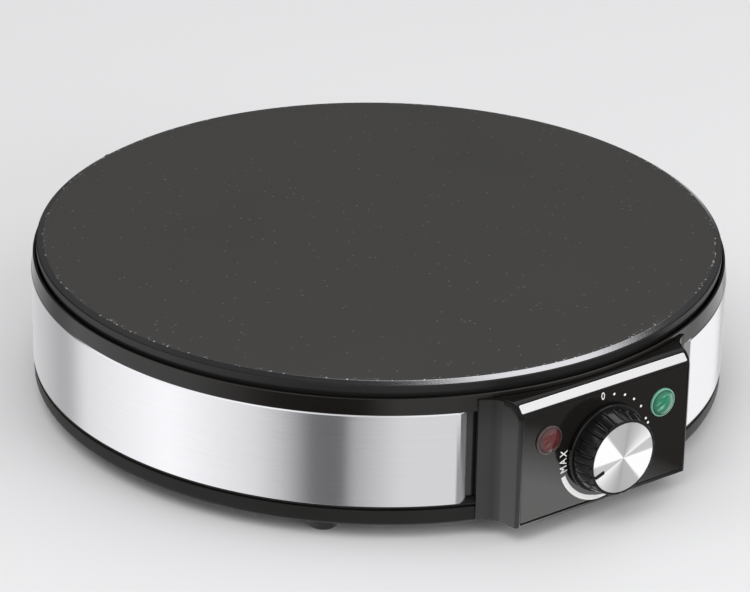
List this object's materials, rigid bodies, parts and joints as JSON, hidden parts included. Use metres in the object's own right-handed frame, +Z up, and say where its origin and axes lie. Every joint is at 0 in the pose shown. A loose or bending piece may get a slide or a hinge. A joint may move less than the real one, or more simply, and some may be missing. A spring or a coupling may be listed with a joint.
{
  "type": "electric crepe maker",
  "caption": "Round electric crepe maker: flat black cooking plate in a black collar, brushed steel side bands, front box with a thermostat knob and two indicator lights.",
  "frame": {"origin": "on the table surface, on the axis of the round body", "axes": "+Z up, -Y towards the front panel with the knob, +X to the right as seen from the front"},
  "size_m": [0.3168, 0.3546, 0.0735],
  "materials": {
    "plate_coating": "matte",
    "black_gloss": "gloss",
    "black_satin": "satin",
    "brushed_band": "brushed",
    "bright_trim": "polished",
    "spun_cap": "spun",
    "foot_rubber": "matte",
    "fastener_steel": "zinc plated",
    "sheath_steel": "heat tinted",
    "shield_steel": "satin",
    "ceramic": "matte",
    "copper": "satin",
    "red_glass": "clear red",
    "green_glass": "clear green",
    "lamp_glass": "clear",
    "sleeve_white": "woven sleeve"
  },
  "bodies": {
    "cooker": {"base_pan": "black_satin", "block_screws": "fastener_steel", "bulb_clip": "fastener_steel", "capillary_tube": "copper", "clip_screws": "fastener_steel", "collar_ring": "black_gloss", "control_housing": "black_gloss", "cooking_plate": "plate_coating", "cord_gland": "foot_rubber", "element_beads": "ceramic", "element_clips": "fastener_steel", "element_pins": "fastener_steel", "foot_front_left": "foot_rubber", "foot_front_right": "foot_rubber", "foot_rear_left": "foot_rubber", "foot_rear_right": "foot_rubber", "foot_screws": "fastener_steel", "front_fascia": "black_gloss", "fuse_clip": "fastener_steel", "green_lamp": "lamp_glass", "green_lens": "green_glass", "heat_shield": "shield_steel", "heater_wire": "sleeve_white", "heating_element": "sheath_steel", "housing_screws": "fastener_steel", "left_band": "brushed_band", "lens_spring_nuts": "fastener_steel", "live_wire": "sleeve_white", "neutral_wire": "sleeve_white", "plate_screws": "fastener_steel", "plate_spacers": "fastener_steel", "rear_housing": "black_gloss", "red_lamp": "lamp_glass", "red_lens": "red_glass", "right_band": "brushed_band", "saddle_screws": "fastener_steel", "sensor_bulb": "copper", "terminal_block": "ceramic", "thermal_fuse": "fastener_steel", "thermostat_body": "ceramic", "thermostat_screws": "fastener_steel", "trim_strip": "bright_trim"},
    "knob": {"knob_body": "black_gloss", "knob_cap": "spun_cap", "thermostat_shaft": "fastener_steel"}
  },
  "joints": [
    {"name": "knob_turn", "type": "hinge", "parent": "cooker", "child": "knob", "pos_m": [0, -0.1646, 0.0336], "axis": [0, -1, 0], "range_deg": [-15, 255]}
  ]
}
